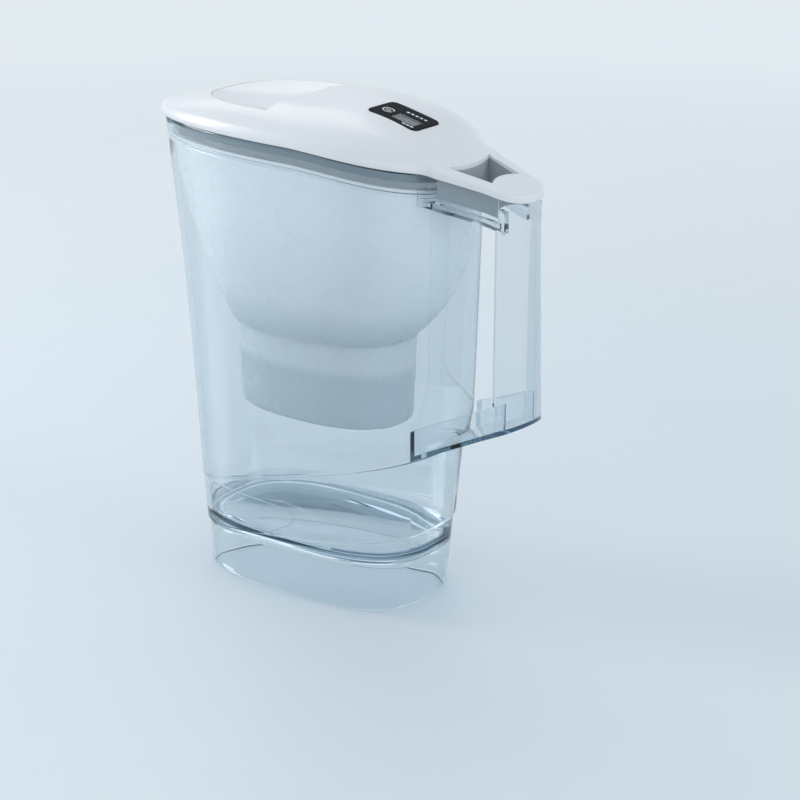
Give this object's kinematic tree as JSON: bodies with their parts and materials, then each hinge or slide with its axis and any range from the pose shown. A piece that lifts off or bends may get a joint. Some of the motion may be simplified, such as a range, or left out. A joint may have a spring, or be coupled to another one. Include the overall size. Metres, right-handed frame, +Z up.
{
  "type": "water filter pitcher",
  "caption": "Slim clear water filter pitcher for a refrigerator door, with a channel handle, funnel and cartridge, and a lid with a rocking fill flap and a change indicator.",
  "frame": {"origin": "middle of the bounding box in plan, on the plane of the foot", "axes": "+X from the spout to the handle, +Y to the left of that, +Z up"},
  "size_m": [0.2426, 0.106, 0.277],
  "materials": {
    "clear_tank": "clear, glossy",
    "funnel_plastic": "frosted, translucent",
    "white_plastic": "glossy white",
    "frame_plastic": "satin light grey",
    "cartridge_plastic": "satin white",
    "mesh_plastic": "fine woven",
    "filter_grains": "grains",
    "black_panel": "glossy black",
    "window_clear": "clear",
    "display_glass": "grey green",
    "button_black": "satin black",
    "pad_rubber": "matt",
    "board_green": "solder mask",
    "strip_rubber": "matt",
    "cell_steel": "plated",
    "clip_brass": "plated",
    "seal_rubber": "matt",
    "case_plastic": "satin"
  },
  "bodies": {
    "jug": {"jug": "clear_tank", "jug_grip": "clear_tank"},
    "funnel": {"funnel": "funnel_plastic"},
    "cartridge": {"cartridge_shell": "cartridge_plastic", "cartridge_cap": "cartridge_plastic", "cartridge_top_mesh": "mesh_plastic", "cartridge_base_mesh": "mesh_plastic", "filter_media": "filter_grains"},
    "lid": {"lid_shell": "white_plastic", "lid_frame": "frame_plastic", "indicator_bezel": "black_panel", "indicator_window": "window_clear", "indicator_display": "display_glass", "indicator_button_pad": "pad_rubber", "indicator_board": "board_green", "indicator_connector": "strip_rubber", "indicator_battery": "cell_steel", "indicator_battery_clip": "clip_brass", "indicator_seal": "seal_rubber", "indicator_back": "case_plastic"},
    "fill_flap": {"fill_flap": "white_plastic"},
    "spout_flap": {"spout_flap": "white_plastic"},
    "start_button": {"indicator_button": "button_black"}
  },
  "joints": [
    {"name": "funnel_lift", "type": "slide", "parent": "jug", "child": "funnel", "axis": [0, 0, 1], "range_m": [0, 0.175]},
    {"name": "lid_lift", "type": "slide", "parent": "funnel", "child": "lid", "axis": [0, 0, 1], "range_m": [0, 0.26]},
    {"name": "cartridge_lift", "type": "slide", "parent": "funnel", "child": "cartridge", "axis": [0, 0, 1], "range_m": [0, 0.185]},
    {"name": "fill_flap_rock", "type": "hinge", "parent": "lid", "child": "fill_flap", "pos_m": [-0.037, 0, 0.26841], "axis": [0, 1, 0], "range_deg": [0, 70]},
    {"name": "spout_flap_hinge", "type": "hinge", "parent": "lid", "child": "spout_flap", "pos_m": [-0.1121, 0, 0.26422], "axis": [0, 1, 0], "range_deg": [0, 50]},
    {"name": "start_button_press", "type": "slide", "parent": "lid", "child": "start_button", "axis": [-0.2364, 0, -0.9716], "range_m": [0, 0.0008], "stiffness_N_per_m": 400, "springref_m": -0.001}
  ],
  "couplings": [
    {"joint": "cartridge_lift", "follows": "lid_lift", "ratio": 0.7}
  ]
}
